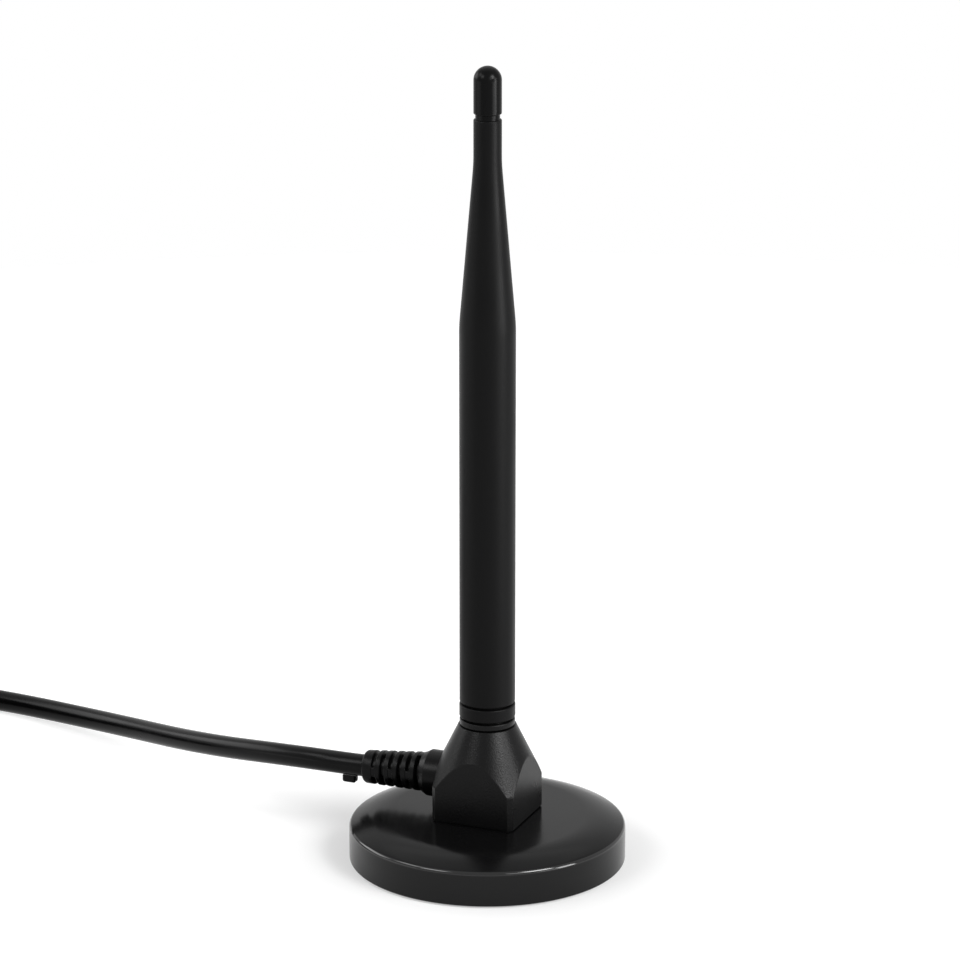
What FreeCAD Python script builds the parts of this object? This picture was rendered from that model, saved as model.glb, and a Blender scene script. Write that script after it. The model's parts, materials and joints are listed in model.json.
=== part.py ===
import FreeCAD, Part
import math
import os

# Indoor TV antenna: a tapered whip on a square-to-cone hub, on a round magnetic base, with a coax lead.
# Millimetres. The origin is the middle of the base's underside, +Z is up and the lead leaves towards -X.

# Base shell
BASE_RADIUS = 33.1
BASE_HEIGHT = 11.2
BASE_SIDE_WALL = 2.0
BASE_TOP_WALL = 2.2
SLOPE_RADIUS = 28.1
SLOPE_BLEND = 19.0
RIM_HEIGHT = 8.7
RIM_ROUND = 0.8
FOOT_GAP = 0.4
FOOT_ROUND = 0.3
SLOPE_INSET = 1.5
RIB_COUNT = 8
RIB_WIDTH = 1.2
RIB_DEPTH = 5.0

# Magnet stack inside the base
PAD_THICKNESS = 1.2
PAD_CLEARANCE = 0.3
PLATE_THICKNESS = 1.5
PLATE_INSET = 0.5
MAGNET_RADIUS = 25.0
MAGNET_BORE_RADIUS = 13.0
SKIRT_CLEARANCE = 0.4
SKIRT_WALL = 1.2

# Screws from the plate up into the hub
SCREW_RADIUS = 1.3
SCREW_HEAD_RADIUS = 2.5
SCREW_HEAD_HEIGHT = 1.8
SCREW_HEAD_ROUND = 0.7
SCREW_REACH = 5.0
SCREW_POINT = 0.8
SCREW_HOLE_CLEARANCE = 0.15
THREAD_CLEARANCE = 0.03
BOSS_RADIUS = 2.1
BOSS_HEIGHT = 7.0
BOSS_INSET = 1.9

# Hub: square below, cone above
HUB_WIDTH = 20.8
HUB_EDGE_ROUND = 0.95
HUB_HEIGHT = 22.75
HUB_WALL = 1.9
HUB_CROWN = 4.6
CONE_TOP_RADIUS = 6.92
CONE_SPREAD = 0.49
ARC_ROUND = 1.2

# Neck of the hub and the ring under the whip
SEAM_HEIGHT = 0.2
LIP_HEIGHT = 1.45
LIP_RADIUS = 6.62
LIP_ROUND = 0.25
GROOVE_HEIGHT = 0.5
GROOVE_RADIUS = 6.1
COLLAR_HEIGHT = 3.2
COLLAR_RADIUS = 6.68
COLLAR_ROUND = 0.3

# Whip
WHIP_RADIUS = 6.62
WHIP_STRAIGHT = 92.3
WHIP_TAPER = 38.3
WHIP_TIP_RADIUS = 3.28
WHIP_TIP_STRAIGHT = 10.4
WHIP_FOOT_ROUND = 0.35
WHIP_TIP_ROUND = 0.2
TAPER_BLEND = 45.0
WHIP_BORE_RADIUS = 4.75
BORE_TAPER_START = 88.0
BORE_TAPER_END = 125.0
CAP_BORE_RADIUS = 1.8
CAP_GROOVE = 1.2
CAP_GROOVE_RADIUS = 2.86
CAP_LENGTH = 11.15
CAP_RADIUS = 3.28
CAP_FOOT_ROUND = 0.3
CAP_SPIGOT = 9.0
FIT_CLEARANCE = 0.05

# Ferrule, rod and insulators in the whip's foot
FERRULE_BODY = 15.8
FERRULE_CLEARANCE = 0.1
FERRULE_SPIGOT_RADIUS = 3.0
FERRULE_BORE_RADIUS = 2.1
FERRULE_TAIL = 1.2
NUT_WIDTH = 10.0
NUT_HEIGHT = 3.2
LUG_RADIUS = 5.2
LUG_THICKNESS = 0.5
LUG_TAB_WIDTH = 2.5
LUG_TAB_X = 6.55
BUSH_TAIL = 1.0
BUSH_FLANGE_RADIUS = 3.6
BUSH_FLANGE = 1.2
ROD_RADIUS = 1.0
ROD_TAIL = 1.7
ROD_LENGTH = 145.7
SPACER_HEIGHT = 6.0
SPACER_PLACE = 72.0

# Lead and strain relief
LEAD_DIAMETER = 5.4
LEAD_HEIGHT = 8.25
BOOT_BORE_CLEARANCE = 0.075
PORT_RADIUS = 3.5
BOOT_FLANGE_RADIUS = 4.3
BOOT_FLANGE = 1.3
BOOT_COLLAR_RADIUS = 5.65
BOOT_COLLAR = 5.5
BOOT_COLLAR_CHAMFER = 1.3
BOOT_COLLAR_STEP = 0.12
BOOT_LENGTH = 21.1
BOOT_START_RADIUS = 4.8
BOOT_END_RADIUS = 4.0
BOOT_CORE_RADIUS = 3.3
BOOT_SLOT_COUNT = 6
BOOT_SLOT_PITCH = 2.3
BOOT_SLOT_WIDTH = 1.1
BOOT_RIB_ROUND = 0.25
BOOT_NOSE_ROUND = 0.8
BOOT_WEB_WIDTH = 2.5
BOOT_WEB_RECESS = 0.12
BOOT_DROOP = 3.05
NIB_LENGTH = 3.5
NIB_WIDTH = 2.2
NIB_DEPTH = 1.85
NIB_ROUND = 0.6
NIB_GAP = 2.6
NIB_CLEARANCE = 0.15

# Bared end of the lead inside the hub
BRAID_RADIUS = 1.8
BRAID_LENGTH = 2.6
DIELECTRIC_RADIUS = 1.475
DIELECTRIC_LENGTH = 4.6
CONDUCTOR_RADIUS = 0.45
CONDUCTOR_PAST_ROD = 0.8
STRAND_CLEARANCE = 0.02

# Put-away coil of the lead, its band and its 9.5 mm TV plug
COIL_CENTRE_X = -201.0
COIL_MEAN_DIAMETER = 55.0
COIL_COLUMNS = 4
COIL_ROWS = 4
COIL_ROUND = 2.4
COIL_STUB = 22.0
PLUG_ROW = 1
TIE_THICKNESS = 0.6
TIE_ANGLE = 240.0
TIE_SWEEP = 16.0
PLUG_TAIL_RADIUS = 3.3
PLUG_TAIL_END_RADIUS = 4.2
PLUG_TAIL = 10.0
PLUG_TAIL_GROOVES = 3
PLUG_TAIL_GROOVE_WIDTH = 1.2
PLUG_TAIL_GROOVE_DEPTH = 0.7
PLUG_TAIL_GROOVE_PITCH = 2.6
PLUG_GRIP_RADIUS = 6.6
PLUG_GRIP = 17.0
PLUG_RING_RADIUS = 7.8
PLUG_RING = 4.0
PLUG_ROUND = 0.6
PLUG_SHELL_RADIUS = 4.7625
PLUG_SHELL_WALL = 0.5
PLUG_SHELL = 10.0
PLUG_SHELL_SEAT = 5.0
PLUG_SEAT_RADIUS = 5.5
PLUG_SHELL_ROUND = 0.2
PLUG_INSULATOR = 6.0
PLUG_PIN_RADIUS = 1.2
PLUG_PIN_SEAT = 2.0
PLUG_PIN_PAST_SHELL = 0.5

# Heights worked out from the stack
CEILING = BASE_HEIGHT - BASE_TOP_WALL
PLATE_FLOOR = CEILING - PLATE_THICKNESS
CONE_TOP = BASE_HEIGHT + HUB_HEIGHT
LIP_FLOOR = CONE_TOP + SEAM_HEIGHT
LIP_TOP = LIP_FLOOR + LIP_HEIGHT
NECK_TOP = LIP_TOP + GROOVE_HEIGHT
COLLAR_TOP = NECK_TOP + COLLAR_HEIGHT
WHIP_FOOT = COLLAR_TOP + GROOVE_HEIGHT
TAPER_START = WHIP_FOOT + WHIP_STRAIGHT
TAPER_END = TAPER_START + WHIP_TAPER
WHIP_TOP = TAPER_END + WHIP_TIP_STRAIGHT
CAP_FOOT = WHIP_TOP + CAP_GROOVE
CAP_TOP = CAP_FOOT + CAP_LENGTH
HUB_CEILING = CONE_TOP - HUB_CROWN
LUG_FLOOR = HUB_CEILING - LUG_THICKNESS
NUT_FLOOR = LUG_FLOOR - NUT_HEIGHT
FERRULE_FLOOR = NUT_FLOOR - FERRULE_TAIL
FERRULE_TOP = NECK_TOP + FERRULE_BODY
BASE_BORE = BASE_RADIUS - BASE_SIDE_WALL

# Places along the lead
LEAD_Z = BASE_HEIGHT + LEAD_HEIGHT
LEAD_RADIUS = LEAD_DIAMETER / 2
NOSE_Z = LEAD_Z - (BOOT_LENGTH - BOOT_COLLAR) * math.tan(math.radians(BOOT_DROOP))
HUB_FACE = HUB_WIDTH / 2
HUB_INSIDE = HUB_FACE - HUB_WALL
LEAD_END = HUB_INSIDE - BOOT_FLANGE
NIB_START = HUB_FACE + BOOT_LENGTH + NIB_GAP
SCREW_PLACE = HUB_INSIDE - BOSS_INSET

# Route of the lead: through the boot, straight out of it, down to the table, along it to the coil
COIL_OUTER_TURN = (COIL_MEAN_DIAMETER + (COIL_COLUMNS - 1) * LEAD_DIAMETER) / 2
COIL_LEAD_Y = 47.9
COIL_CENTRE_Y = COIL_LEAD_Y - COIL_OUTER_TURN
LEAD_ROUTE = [
    (-LEAD_END, 0.0, LEAD_Z),
    (-HUB_FACE - BOOT_COLLAR, 0.0, LEAD_Z),
    (-HUB_FACE - BOOT_LENGTH, 0.0, NOSE_Z),
    (-50.0, 0.4, 18.45),
    (-82.0, 13.6, 12.6),
    (-118.0, 36.2, 5.4),
    (-155.0, COIL_LEAD_Y, LEAD_RADIUS),
    (COIL_CENTRE_X + COIL_STUB, COIL_LEAD_Y, LEAD_RADIUS),
]
ARC_SHARE = 0.45
STRAIGHT_ON = 1e-6
PLUG_X = COIL_CENTRE_X - COIL_OUTER_TURN
PLUG_Y = COIL_CENTRE_Y - COIL_STUB
PLUG_Z = LEAD_RADIUS + PLUG_ROW * LEAD_DIAMETER

# Places along the plug, from its lead end
PLUG_FRONT = PLUG_TAIL + PLUG_GRIP + PLUG_RING
SHELL_FLOOR = PLUG_FRONT - PLUG_SHELL_SEAT
SHELL_TOP = PLUG_FRONT + PLUG_SHELL
PIN_FLOOR = SHELL_FLOOR - PLUG_PIN_SEAT

UP = FreeCAD.Vector(0, 0, 1)
ALONG_X = FreeCAD.Vector(1, 0, 0)
ALONG_Y = FreeCAD.Vector(0, 1, 0)
ORIGIN = FreeCAD.Vector(0, 0, 0)
CUT_PAST = 1.0


def corner_arc(before, here, after, radius):
    """Start, middle and end of the tangent arc that rounds the corner at here."""
    back = (before - here).normalize()
    ahead = (after - here).normalize()
    half = back.getAngle(ahead) / 2
    inward = (back + ahead).normalize()
    reach = radius / math.tan(half)
    return here + back * reach, here + inward * (radius / math.sin(half) - radius), here + ahead * reach


def outline(corners):
    """Closed outline in the XZ plane from (x, z) corners, or (x, z, radius) where a corner is rounded."""
    points = [FreeCAD.Vector(corner[0], 0, corner[1]) for corner in corners]
    edges = []
    ends = []
    for i, corner in enumerate(corners):
        arc = (points[i],)
        if len(corner) == 3:
            arc = corner_arc(points[i - 1], points[i], points[(i + 1) % len(points)], corner[2])
            edges.append(Part.Arc(*arc).toShape())
        ends.append((arc[0], arc[-1]))
    for i, (start, _) in enumerate(ends):
        last = ends[i - 1][1]
        if last.distanceToPoint(start) > 1e-6:
            edges.append(Part.LineSegment(last, start).toShape())
    return Part.Wire(Part.__sortEdges__(edges))


def turned(corners):
    """Solid of revolution about Z from its half outline."""
    return Part.Face(outline(corners)).revolve(ORIGIN, UP, 360)


def disc(radius, floor, top, bore=0.0):
    """Round plate or tube about Z."""
    solid = Part.makeCylinder(radius, top - floor, FreeCAD.Vector(0, 0, floor))
    if bore:
        solid = solid.cut(Part.makeCylinder(bore, top - floor, FreeCAD.Vector(0, 0, floor)))
    return solid


def along_lead(radius, start, end, bore=0.0):
    """Cylinder or tube on the lead's axis, from X = start to X = end."""
    place = FreeCAD.Vector(start, 0, LEAD_Z)
    solid = Part.makeCylinder(radius, end - start, place, ALONG_X)
    if bore:
        solid = solid.cut(Part.makeCylinder(bore, end - start, place, ALONG_X))
    return solid


def block(x, y, z):
    """Box from its (low, high) extents along each axis."""
    corner = FreeCAD.Vector(x[0], y[0], z[0])
    return Part.makeBox(x[1] - x[0], y[1] - y[0], z[1] - z[0], corner)


def screw_places():
    """Screw axes at the four corners of the hub."""
    return [(x, y) for x in (-SCREW_PLACE, SCREW_PLACE) for y in (-SCREW_PLACE, SCREW_PLACE)]


def drilled(solid, radius, floor, top):
    """The solid with a hole at each screw."""
    for x, y in screw_places():
        solid = solid.cut(Part.makeCylinder(radius, top - floor, FreeCAD.Vector(x, y, floor)))
    return solid


def base_cover():
    """Round shell: flat middle, convex sloped ring, crisp rim, straight side, skirt and ribs inside."""
    shell = turned([
        (0, FOOT_GAP),
        (BASE_RADIUS, FOOT_GAP, FOOT_ROUND),
        (BASE_RADIUS, RIM_HEIGHT, RIM_ROUND),
        (SLOPE_RADIUS, BASE_HEIGHT, SLOPE_BLEND),
        (0, BASE_HEIGHT),
    ])
    cavity = turned([
        (0, FOOT_GAP - CUT_PAST),
        (BASE_BORE, FOOT_GAP - CUT_PAST),
        (BASE_BORE, RIM_HEIGHT - BASE_TOP_WALL + FOOT_GAP),
        (SLOPE_RADIUS - SLOPE_INSET, CEILING),
        (0, CEILING),
    ])
    rib_floor = CEILING - RIB_DEPTH
    skirt_bore = MAGNET_RADIUS + SKIRT_CLEARANCE
    cavity = cavity.cut(disc(skirt_bore + SKIRT_WALL, rib_floor, BASE_HEIGHT, skirt_bore))
    for i in range(RIB_COUNT):
        rib = block((skirt_bore, BASE_RADIUS), (-RIB_WIDTH / 2, RIB_WIDTH / 2), (rib_floor, BASE_HEIGHT))
        cavity = cavity.cut(rib.rotated(ORIGIN, UP, 360 * i / RIB_COUNT))
    shell = shell.cut(cavity)
    return drilled(shell, SCREW_RADIUS + SCREW_HOLE_CLEARANCE, CEILING - CUT_PAST, BASE_HEIGHT + CUT_PAST)


def back_plate():
    """Steel flux plate over the magnet."""
    plate = disc(MAGNET_RADIUS - PLATE_INSET, PLATE_FLOOR, CEILING)
    return drilled(plate, SCREW_RADIUS + SCREW_HOLE_CLEARANCE, PLATE_FLOOR, CEILING)


def base_screws():
    """Pan-head screws from under the plate into the hub's bosses."""
    head_floor = PLATE_FLOOR - SCREW_HEAD_HEIGHT
    tip = BASE_HEIGHT + SCREW_REACH
    screw = turned([
        (0, head_floor),
        (SCREW_HEAD_RADIUS, head_floor, SCREW_HEAD_ROUND),
        (SCREW_HEAD_RADIUS, PLATE_FLOOR),
        (SCREW_RADIUS, PLATE_FLOOR),
        (SCREW_RADIUS, tip - SCREW_POINT),
        (SCREW_RADIUS - SCREW_POINT, tip),
        (0, tip),
    ])
    return Part.makeCompound([screw.translated(FreeCAD.Vector(x, y, 0)) for x, y in screw_places()])


def square_to_cone(width, edge_round, cone_top_radius, top):
    """Square post with rounded edges, topped by a cone about Z that cuts arcs into its four faces."""
    half = width / 2
    post = block((-half, half), (-half, half), (BASE_HEIGHT, top))
    upright = [edge for edge in post.Edges if edge.BoundBox.ZLength > 1]
    post = post.makeFillet(edge_round, upright)
    height = top - BASE_HEIGHT
    foot_radius = cone_top_radius + CONE_SPREAD * height
    cone = Part.makeCone(foot_radius, cone_top_radius, height, FreeCAD.Vector(0, 0, BASE_HEIGHT))
    return post.common(cone)


def hub_housing():
    """Hollow hub with rounded arcs between faces and cone, a neck lip, screw bosses and the lead's port."""
    body = square_to_cone(HUB_WIDTH, HUB_EDGE_ROUND, CONE_TOP_RADIUS, CONE_TOP)
    arcs = []
    for edge in body.Edges:
        box = edge.BoundBox
        if box.ZMin > BASE_HEIGHT + CUT_PAST and box.ZMax < CONE_TOP - CUT_PAST:
            arcs.append(edge)
    body = body.makeFillet(ARC_ROUND, arcs)
    neck = turned([
        (0, CONE_TOP - CUT_PAST),
        (GROOVE_RADIUS, CONE_TOP - CUT_PAST),
        (GROOVE_RADIUS, LIP_FLOOR),
        (LIP_RADIUS, LIP_FLOOR, LIP_ROUND),
        (LIP_RADIUS, LIP_TOP, LIP_ROUND),
        (GROOVE_RADIUS, LIP_TOP),
        (GROOVE_RADIUS, NECK_TOP),
        (0, NECK_TOP),
    ])
    wall_across_cone = HUB_WALL * math.sqrt(1 + CONE_SPREAD ** 2)
    inside_top_radius = CONE_TOP_RADIUS + CONE_SPREAD * HUB_CROWN - wall_across_cone
    cavity = square_to_cone(2 * HUB_INSIDE, HUB_EDGE_ROUND, inside_top_radius, HUB_CEILING)
    for x, y in screw_places():
        boss = Part.makeCylinder(BOSS_RADIUS, BOSS_HEIGHT, FreeCAD.Vector(x, y, BASE_HEIGHT))
        cavity = cavity.cut(boss)
    body = body.fuse(neck).removeSplitter().cut(cavity)
    body = body.cut(along_lead(PORT_RADIUS, -HUB_FACE - CUT_PAST, -HUB_INSIDE + CUT_PAST))
    bore = FERRULE_SPIGOT_RADIUS + FERRULE_CLEARANCE
    body = body.cut(disc(bore, HUB_CEILING - CUT_PAST, NECK_TOP + CUT_PAST))
    return drilled(body, SCREW_RADIUS + THREAD_CLEARANCE, BASE_HEIGHT, BASE_HEIGHT + SCREW_REACH + CUT_PAST)


def collar_ring():
    """Ring under the whip, with a step that leaves a groove above it."""
    bore = WHIP_BORE_RADIUS
    return turned([
        (bore, NECK_TOP),
        (COLLAR_RADIUS, NECK_TOP, COLLAR_ROUND),
        (COLLAR_RADIUS, COLLAR_TOP, COLLAR_ROUND),
        (GROOVE_RADIUS, COLLAR_TOP),
        (GROOVE_RADIUS, WHIP_FOOT),
        (bore, WHIP_FOOT),
    ])


def whip_sleeve():
    """Hollow whip: straight, tapered, then a slim straight end that takes the cap's spigot."""
    return turned([
        (WHIP_BORE_RADIUS, WHIP_FOOT),
        (WHIP_RADIUS, WHIP_FOOT, WHIP_FOOT_ROUND),
        (WHIP_RADIUS, TAPER_START, TAPER_BLEND),
        (WHIP_TIP_RADIUS, TAPER_END, TAPER_BLEND),
        (WHIP_TIP_RADIUS, WHIP_TOP, WHIP_TIP_ROUND),
        (CAP_BORE_RADIUS, WHIP_TOP),
        (CAP_BORE_RADIUS, WHIP_FOOT + BORE_TAPER_END),
        (WHIP_BORE_RADIUS, WHIP_FOOT + BORE_TAPER_START),
    ])


def tip_cap():
    """Domed cap with a groove under it and a spigot in the whip's bore, hollow over the rod's tip."""
    spigot = CAP_BORE_RADIUS - FIT_CLEARANCE
    rod_room = ROD_RADIUS + FIT_CLEARANCE
    return turned([
        (0, CAP_TOP - CAP_RADIUS),
        (rod_room, CAP_TOP - CAP_RADIUS),
        (rod_room, WHIP_TOP - CAP_SPIGOT),
        (spigot, WHIP_TOP - CAP_SPIGOT),
        (spigot, WHIP_TOP),
        (CAP_GROOVE_RADIUS, WHIP_TOP),
        (CAP_GROOVE_RADIUS, CAP_FOOT),
        (CAP_RADIUS, CAP_FOOT, CAP_FOOT_ROUND),
        (CAP_RADIUS, CAP_TOP, CAP_RADIUS),
        (0, CAP_TOP),
    ])


def whip_ferrule():
    """Turned ferrule: wide body in the whip's bore, slim threaded spigot down through the hub's neck."""
    body = WHIP_BORE_RADIUS - FERRULE_CLEARANCE
    return turned([
        (FERRULE_BORE_RADIUS, FERRULE_FLOOR),
        (FERRULE_SPIGOT_RADIUS, FERRULE_FLOOR),
        (FERRULE_SPIGOT_RADIUS, NECK_TOP),
        (body, NECK_TOP),
        (body, FERRULE_TOP),
        (FERRULE_BORE_RADIUS, FERRULE_TOP),
    ])


def clamp_nut():
    """Hex nut on the ferrule's spigot, one flat towards the lug's tab."""
    corner = NUT_WIDTH / math.sqrt(3)
    points = []
    for i in range(7):
        angle = math.radians(30 + 60 * i)
        points.append(FreeCAD.Vector(corner * math.cos(angle), corner * math.sin(angle), NUT_FLOOR))
    nut = Part.Face(Part.makePolygon(points)).extrude(UP * NUT_HEIGHT)
    return nut.cut(disc(FERRULE_SPIGOT_RADIUS + THREAD_CLEARANCE, NUT_FLOOR, LUG_FLOOR))


def ground_lug():
    """Solder lug under the hub's ceiling, its tab bent down onto the lead's braid."""
    half = LUG_TAB_WIDTH / 2
    arm = block((-LUG_TAB_X, 0), (-half, half), (LUG_FLOOR, HUB_CEILING))
    braid_top = LEAD_Z + BRAID_RADIUS
    tab = block((-LUG_TAB_X, -LUG_TAB_X + LUG_THICKNESS), (-half, half), (braid_top, HUB_CEILING))
    lug = disc(LUG_RADIUS, LUG_FLOOR, HUB_CEILING).fuse([arm, tab]).removeSplitter()
    return lug.cut(disc(FERRULE_SPIGOT_RADIUS + FERRULE_CLEARANCE, LUG_FLOOR, HUB_CEILING))


def insulating_bush():
    """Tube between ferrule and rod, with a flange on the ferrule's top."""
    bore = ROD_RADIUS + FIT_CLEARANCE
    outside = FERRULE_BORE_RADIUS - FIT_CLEARANCE
    return turned([
        (bore, FERRULE_FLOOR - BUSH_TAIL),
        (outside, FERRULE_FLOOR - BUSH_TAIL),
        (outside, FERRULE_TOP),
        (BUSH_FLANGE_RADIUS, FERRULE_TOP),
        (BUSH_FLANGE_RADIUS, FERRULE_TOP + BUSH_FLANGE),
        (bore, FERRULE_TOP + BUSH_FLANGE),
    ])


def radiator_rod():
    """Quarter-wave rod, cross-drilled at its foot for the lead's conductor."""
    foot = LEAD_Z - ROD_TAIL
    rod = disc(ROD_RADIUS, foot, foot + ROD_LENGTH)
    return rod.cut(along_lead(CONDUCTOR_RADIUS + FIT_CLEARANCE, -2 * ROD_RADIUS, 2 * ROD_RADIUS))


def rod_spacer():
    """Disc that centres the rod in the whip."""
    floor = WHIP_FOOT + SPACER_PLACE
    radius = WHIP_BORE_RADIUS - FERRULE_CLEARANCE
    return disc(radius, floor, floor + SPACER_HEIGHT, ROD_RADIUS + FIT_CLEARANCE)


def boot_radius(reach):
    """Outside of the ribbed part at a distance from the hub's face."""
    share = (reach - BOOT_COLLAR) / (BOOT_LENGTH - BOOT_COLLAR)
    return BOOT_START_RADIUS + share * (BOOT_END_RADIUS - BOOT_START_RADIUS)


def boot_slots():
    """Middle of each slot, as a distance from the hub's face."""
    first = BOOT_COLLAR + BOOT_RIB_ROUND + BOOT_SLOT_WIDTH / 2
    return [first + BOOT_SLOT_PITCH * i for i in range(BOOT_SLOT_COUNT)]


def boot_web(middle, sideways):
    """Pair of webs across one slot with round-ended gaps between, at the sides or at top and bottom."""
    half = BOOT_SLOT_WIDTH / 2
    width = BOOT_WEB_WIDTH / 2 + half
    radius = boot_radius(middle) - BOOT_WEB_RECESS
    ring = disc(radius, middle - half, middle + half, BOOT_CORE_RADIUS - BOOT_RIB_ROUND)
    keep = block((-width, width), (-radius, radius), (middle - half, middle + half))
    for side in (-width, width):
        gap_end = FreeCAD.Vector(side, -radius, middle)
        keep = keep.cut(Part.makeCylinder(half, 2 * radius, gap_end, ALONG_Y))
    web = ring.common(keep)
    return web if sideways else web.rotated(ORIGIN, UP, 90)


def boot_root():
    """Flange and neck in the hub's wall, and the chamfered collar outside it."""
    return turned([
        (0, -HUB_WALL - BOOT_FLANGE),
        (BOOT_FLANGE_RADIUS, -HUB_WALL - BOOT_FLANGE, BOOT_RIB_ROUND),
        (BOOT_FLANGE_RADIUS, -HUB_WALL),
        (PORT_RADIUS, -HUB_WALL),
        (PORT_RADIUS, 0),
        (BOOT_COLLAR_RADIUS, 0, BOOT_RIB_ROUND),
        (BOOT_COLLAR_RADIUS, BOOT_COLLAR - BOOT_COLLAR_CHAMFER, BOOT_RIB_ROUND),
        (BOOT_START_RADIUS + BOOT_COLLAR_STEP, BOOT_COLLAR),
        (0, BOOT_COLLAR),
    ])


def boot_ribs():
    """Tapered ribs with crossed webs between them, and the nose; they lean down under the lead's weight."""
    half = BOOT_SLOT_WIDTH / 2
    start = BOOT_COLLAR - BOOT_COLLAR_CHAMFER
    corners = [(0, start), (BOOT_START_RADIUS, start)]
    for middle in boot_slots():
        corners += [
            (boot_radius(middle - half), middle - half, BOOT_RIB_ROUND),
            (BOOT_CORE_RADIUS, middle - half),
            (BOOT_CORE_RADIUS, middle + half),
            (boot_radius(middle + half), middle + half, BOOT_RIB_ROUND),
        ]
    corners += [
        (boot_radius(BOOT_LENGTH), BOOT_LENGTH, BOOT_NOSE_ROUND),
        (0, BOOT_LENGTH),
    ]
    webs = [boot_web(middle, i % 2 == 0) for i, middle in enumerate(reversed(boot_slots()))]
    ribs = turned(corners).fuse(webs).removeSplitter()
    return ribs.rotated(FreeCAD.Vector(0, 0, BOOT_COLLAR), ALONG_Y, -BOOT_DROOP)


def strain_relief(path):
    """Slotted boot on the lead, bored along it."""
    boot = boot_root().fuse(boot_ribs()).removeSplitter()
    boot = boot.rotated(ORIGIN, ALONG_Y, -90).translated(FreeCAD.Vector(-HUB_FACE, 0, LEAD_Z))
    return boot.cut(lead_tube(path, LEAD_RADIUS + BOOT_BORE_CLEARANCE))


def lead_path():
    """Line of the lead up to its coil: straight runs joined by the largest tangent arcs that they allow."""
    points = [FreeCAD.Vector(*point) for point in LEAD_ROUTE]
    edges = []
    last = points[0]
    for before, here, after in zip(points, points[1:], points[2:]):
        shorter = min(before.distanceToPoint(here), here.distanceToPoint(after))
        turn = math.pi - (before - here).getAngle(after - here)
        if turn < STRAIGHT_ON:
            continue
        radius = ARC_SHARE * shorter / math.tan(turn / 2)
        start, middle, end = corner_arc(before, here, after, radius)
        edges.append(Part.LineSegment(last, start).toShape())
        edges.append(Part.Arc(start, middle, end).toShape())
        last = end
        print("lead bend radius", round(radius, 1))
    edges.append(Part.LineSegment(last, points[-1]).toShape())
    return Part.Wire(edges)


def lead_tube(path, radius):
    """Round tube along the lead's line."""
    start = FreeCAD.Vector(*LEAD_ROUTE[0])
    section = Part.Wire(Part.makeCircle(radius, start, ALONG_X))
    tube = path.makePipeShell([section], True, True)
    print("tube volume", round(tube.Volume, 1), "of", round(math.pi * radius ** 2 * path.Length, 1))
    return tube


def cable_nib(path):
    """Small rounded nib under the lead, its top hollowed to the lead's round."""
    underside = NOSE_Z - LEAD_RADIUS
    floor = underside - NIB_DEPTH
    near = -NIB_START
    far = near - NIB_LENGTH
    nib = block((far, near), (-NIB_WIDTH / 2, NIB_WIDTH / 2), (floor, NOSE_Z))
    nib = nib.makeFillet(NIB_ROUND, [edge for edge in nib.Edges if edge.BoundBox.ZMin < underside])
    nib = nib.common(block((far, near), (-NIB_WIDTH, NIB_WIDTH), (floor, underside + LEAD_RADIUS / 2)))
    return nib.cut(lead_tube(path, LEAD_RADIUS + NIB_CLEARANCE))


def coil_section(grow):
    """Rounded outline of the coil's bundle of turns, grown on its sides and top."""
    half = COIL_COLUMNS * LEAD_DIAMETER / 2 + grow
    middle = COIL_MEAN_DIAMETER / 2
    top = COIL_ROWS * LEAD_DIAMETER + grow
    return outline([
        (middle - half, 0, COIL_ROUND + grow),
        (middle + half, 0, COIL_ROUND + grow),
        (middle + half, top, COIL_ROUND + grow),
        (middle - half, top, COIL_ROUND + grow),
    ])


def coil_tie():
    """Thin band round the coil's bundle, flush with the table."""
    outside = Part.Face(coil_section(TIE_THICKNESS)).revolve(ORIGIN, UP, TIE_SWEEP)
    inside = Part.Face(coil_section(0)).revolve(ORIGIN, UP, TIE_SWEEP)
    inside = inside.cut(disc(COIL_MEAN_DIAMETER, 0, TIE_THICKNESS))
    band = outside.cut(inside).rotated(ORIGIN, UP, TIE_ANGLE - TIE_SWEEP / 2)
    return band.translated(FreeCAD.Vector(COIL_CENTRE_X, COIL_CENTRE_Y, 0))


def cable_coil():
    """Outer shape of the wound turns, with a stub towards the lead and one towards the plug."""
    ring = Part.Face(coil_section(0)).revolve(ORIGIN, UP, 360)
    ring = ring.translated(FreeCAD.Vector(COIL_CENTRE_X, COIL_CENTRE_Y, 0))
    arriving = FreeCAD.Vector(COIL_CENTRE_X, COIL_LEAD_Y, LEAD_RADIUS)
    leaving = FreeCAD.Vector(PLUG_X, COIL_CENTRE_Y, PLUG_Z)
    stubs = [
        Part.makeCylinder(LEAD_RADIUS, COIL_STUB, arriving, ALONG_X),
        Part.makeCylinder(LEAD_RADIUS, COIL_STUB, leaving, ALONG_Y * -1),
    ]
    return ring.fuse(stubs).removeSplitter().cut(coil_tie())


def on_plug(solid):
    """Lay a piece made about Z on the plug's axis, which points towards -Y."""
    return solid.rotated(ORIGIN, ALONG_X, 90).translated(FreeCAD.Vector(PLUG_X, PLUG_Y, PLUG_Z))


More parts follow.
